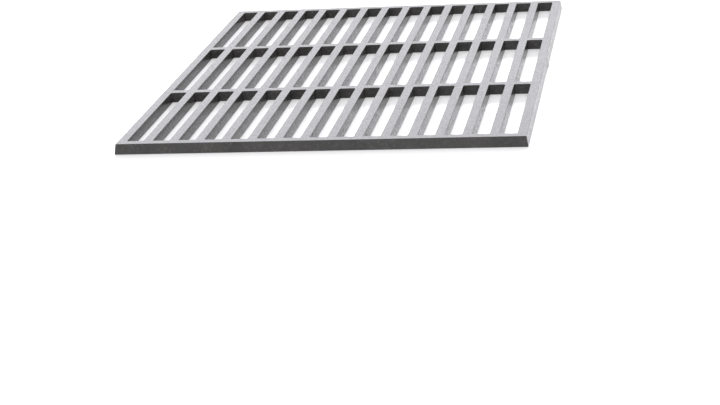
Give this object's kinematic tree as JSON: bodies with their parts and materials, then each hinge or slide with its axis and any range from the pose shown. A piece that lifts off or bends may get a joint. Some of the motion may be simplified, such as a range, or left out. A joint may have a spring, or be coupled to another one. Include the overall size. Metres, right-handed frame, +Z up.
{
  "type": "queen excluder",
  "caption": "Flat moulded plastic grid of long slots in three rows, which lets worker bees through and holds the larger queen back.",
  "frame": {"origin": "centre of the underside", "axes": "+X across the slots, +Y along the slots, +Z up, out of the narrower-barred top face"},
  "size_m": [0.116, 0.1506, 0.003],
  "materials": {
    "grid_plastic": "fine spark-eroded grain, dark charcoal"
  },
  "bodies": {
    "root": {"front_rail": "grid_plastic", "back_rail": "grid_plastic", "left_rail": "grid_plastic", "right_rail": "grid_plastic", "cross_rib_1": "grid_plastic", "cross_rib_2": "grid_plastic", "row_1_slat_01": "grid_plastic", "row_1_slat_02": "grid_plastic", "row_1_slat_03": "grid_plastic", "row_1_slat_04": "grid_plastic", "row_1_slat_05": "grid_plastic", "row_1_slat_06": "grid_plastic", "row_1_slat_07": "grid_plastic", "row_1_slat_08": "grid_plastic", "row_1_slat_09": "grid_plastic", "row_1_slat_10": "grid_plastic", "row_1_slat_11": "grid_plastic", "row_1_slat_12": "grid_plastic", "row_1_slat_13": "grid_plastic", "row_1_slat_14": "grid_plastic", "row_2_slat_01": "grid_plastic", "row_2_slat_02": "grid_plastic", "row_2_slat_03": "grid_plastic", "row_2_slat_04": "grid_plastic", "row_2_slat_05": "grid_plastic", "row_2_slat_06": "grid_plastic", "row_2_slat_07": "grid_plastic", "row_2_slat_08": "grid_plastic", "row_2_slat_09": "grid_plastic", "row_2_slat_10": "grid_plastic", "row_2_slat_11": "grid_plastic", "row_2_slat_12": "grid_plastic", "row_2_slat_13": "grid_plastic", "row_2_slat_14": "grid_plastic", "row_3_slat_01": "grid_plastic", "row_3_slat_02": "grid_plastic", "row_3_slat_03": "grid_plastic", "row_3_slat_04": "grid_plastic", "row_3_slat_05": "grid_plastic", "row_3_slat_06": "grid_plastic", "row_3_slat_07": "grid_plastic", "row_3_slat_08": "grid_plastic", "row_3_slat_09": "grid_plastic", "row_3_slat_10": "grid_plastic", "row_3_slat_11": "grid_plastic", "row_3_slat_12": "grid_plastic", "row_3_slat_13": "grid_plastic", "row_3_slat_14": "grid_plastic"}
  },
  "joints": []
}
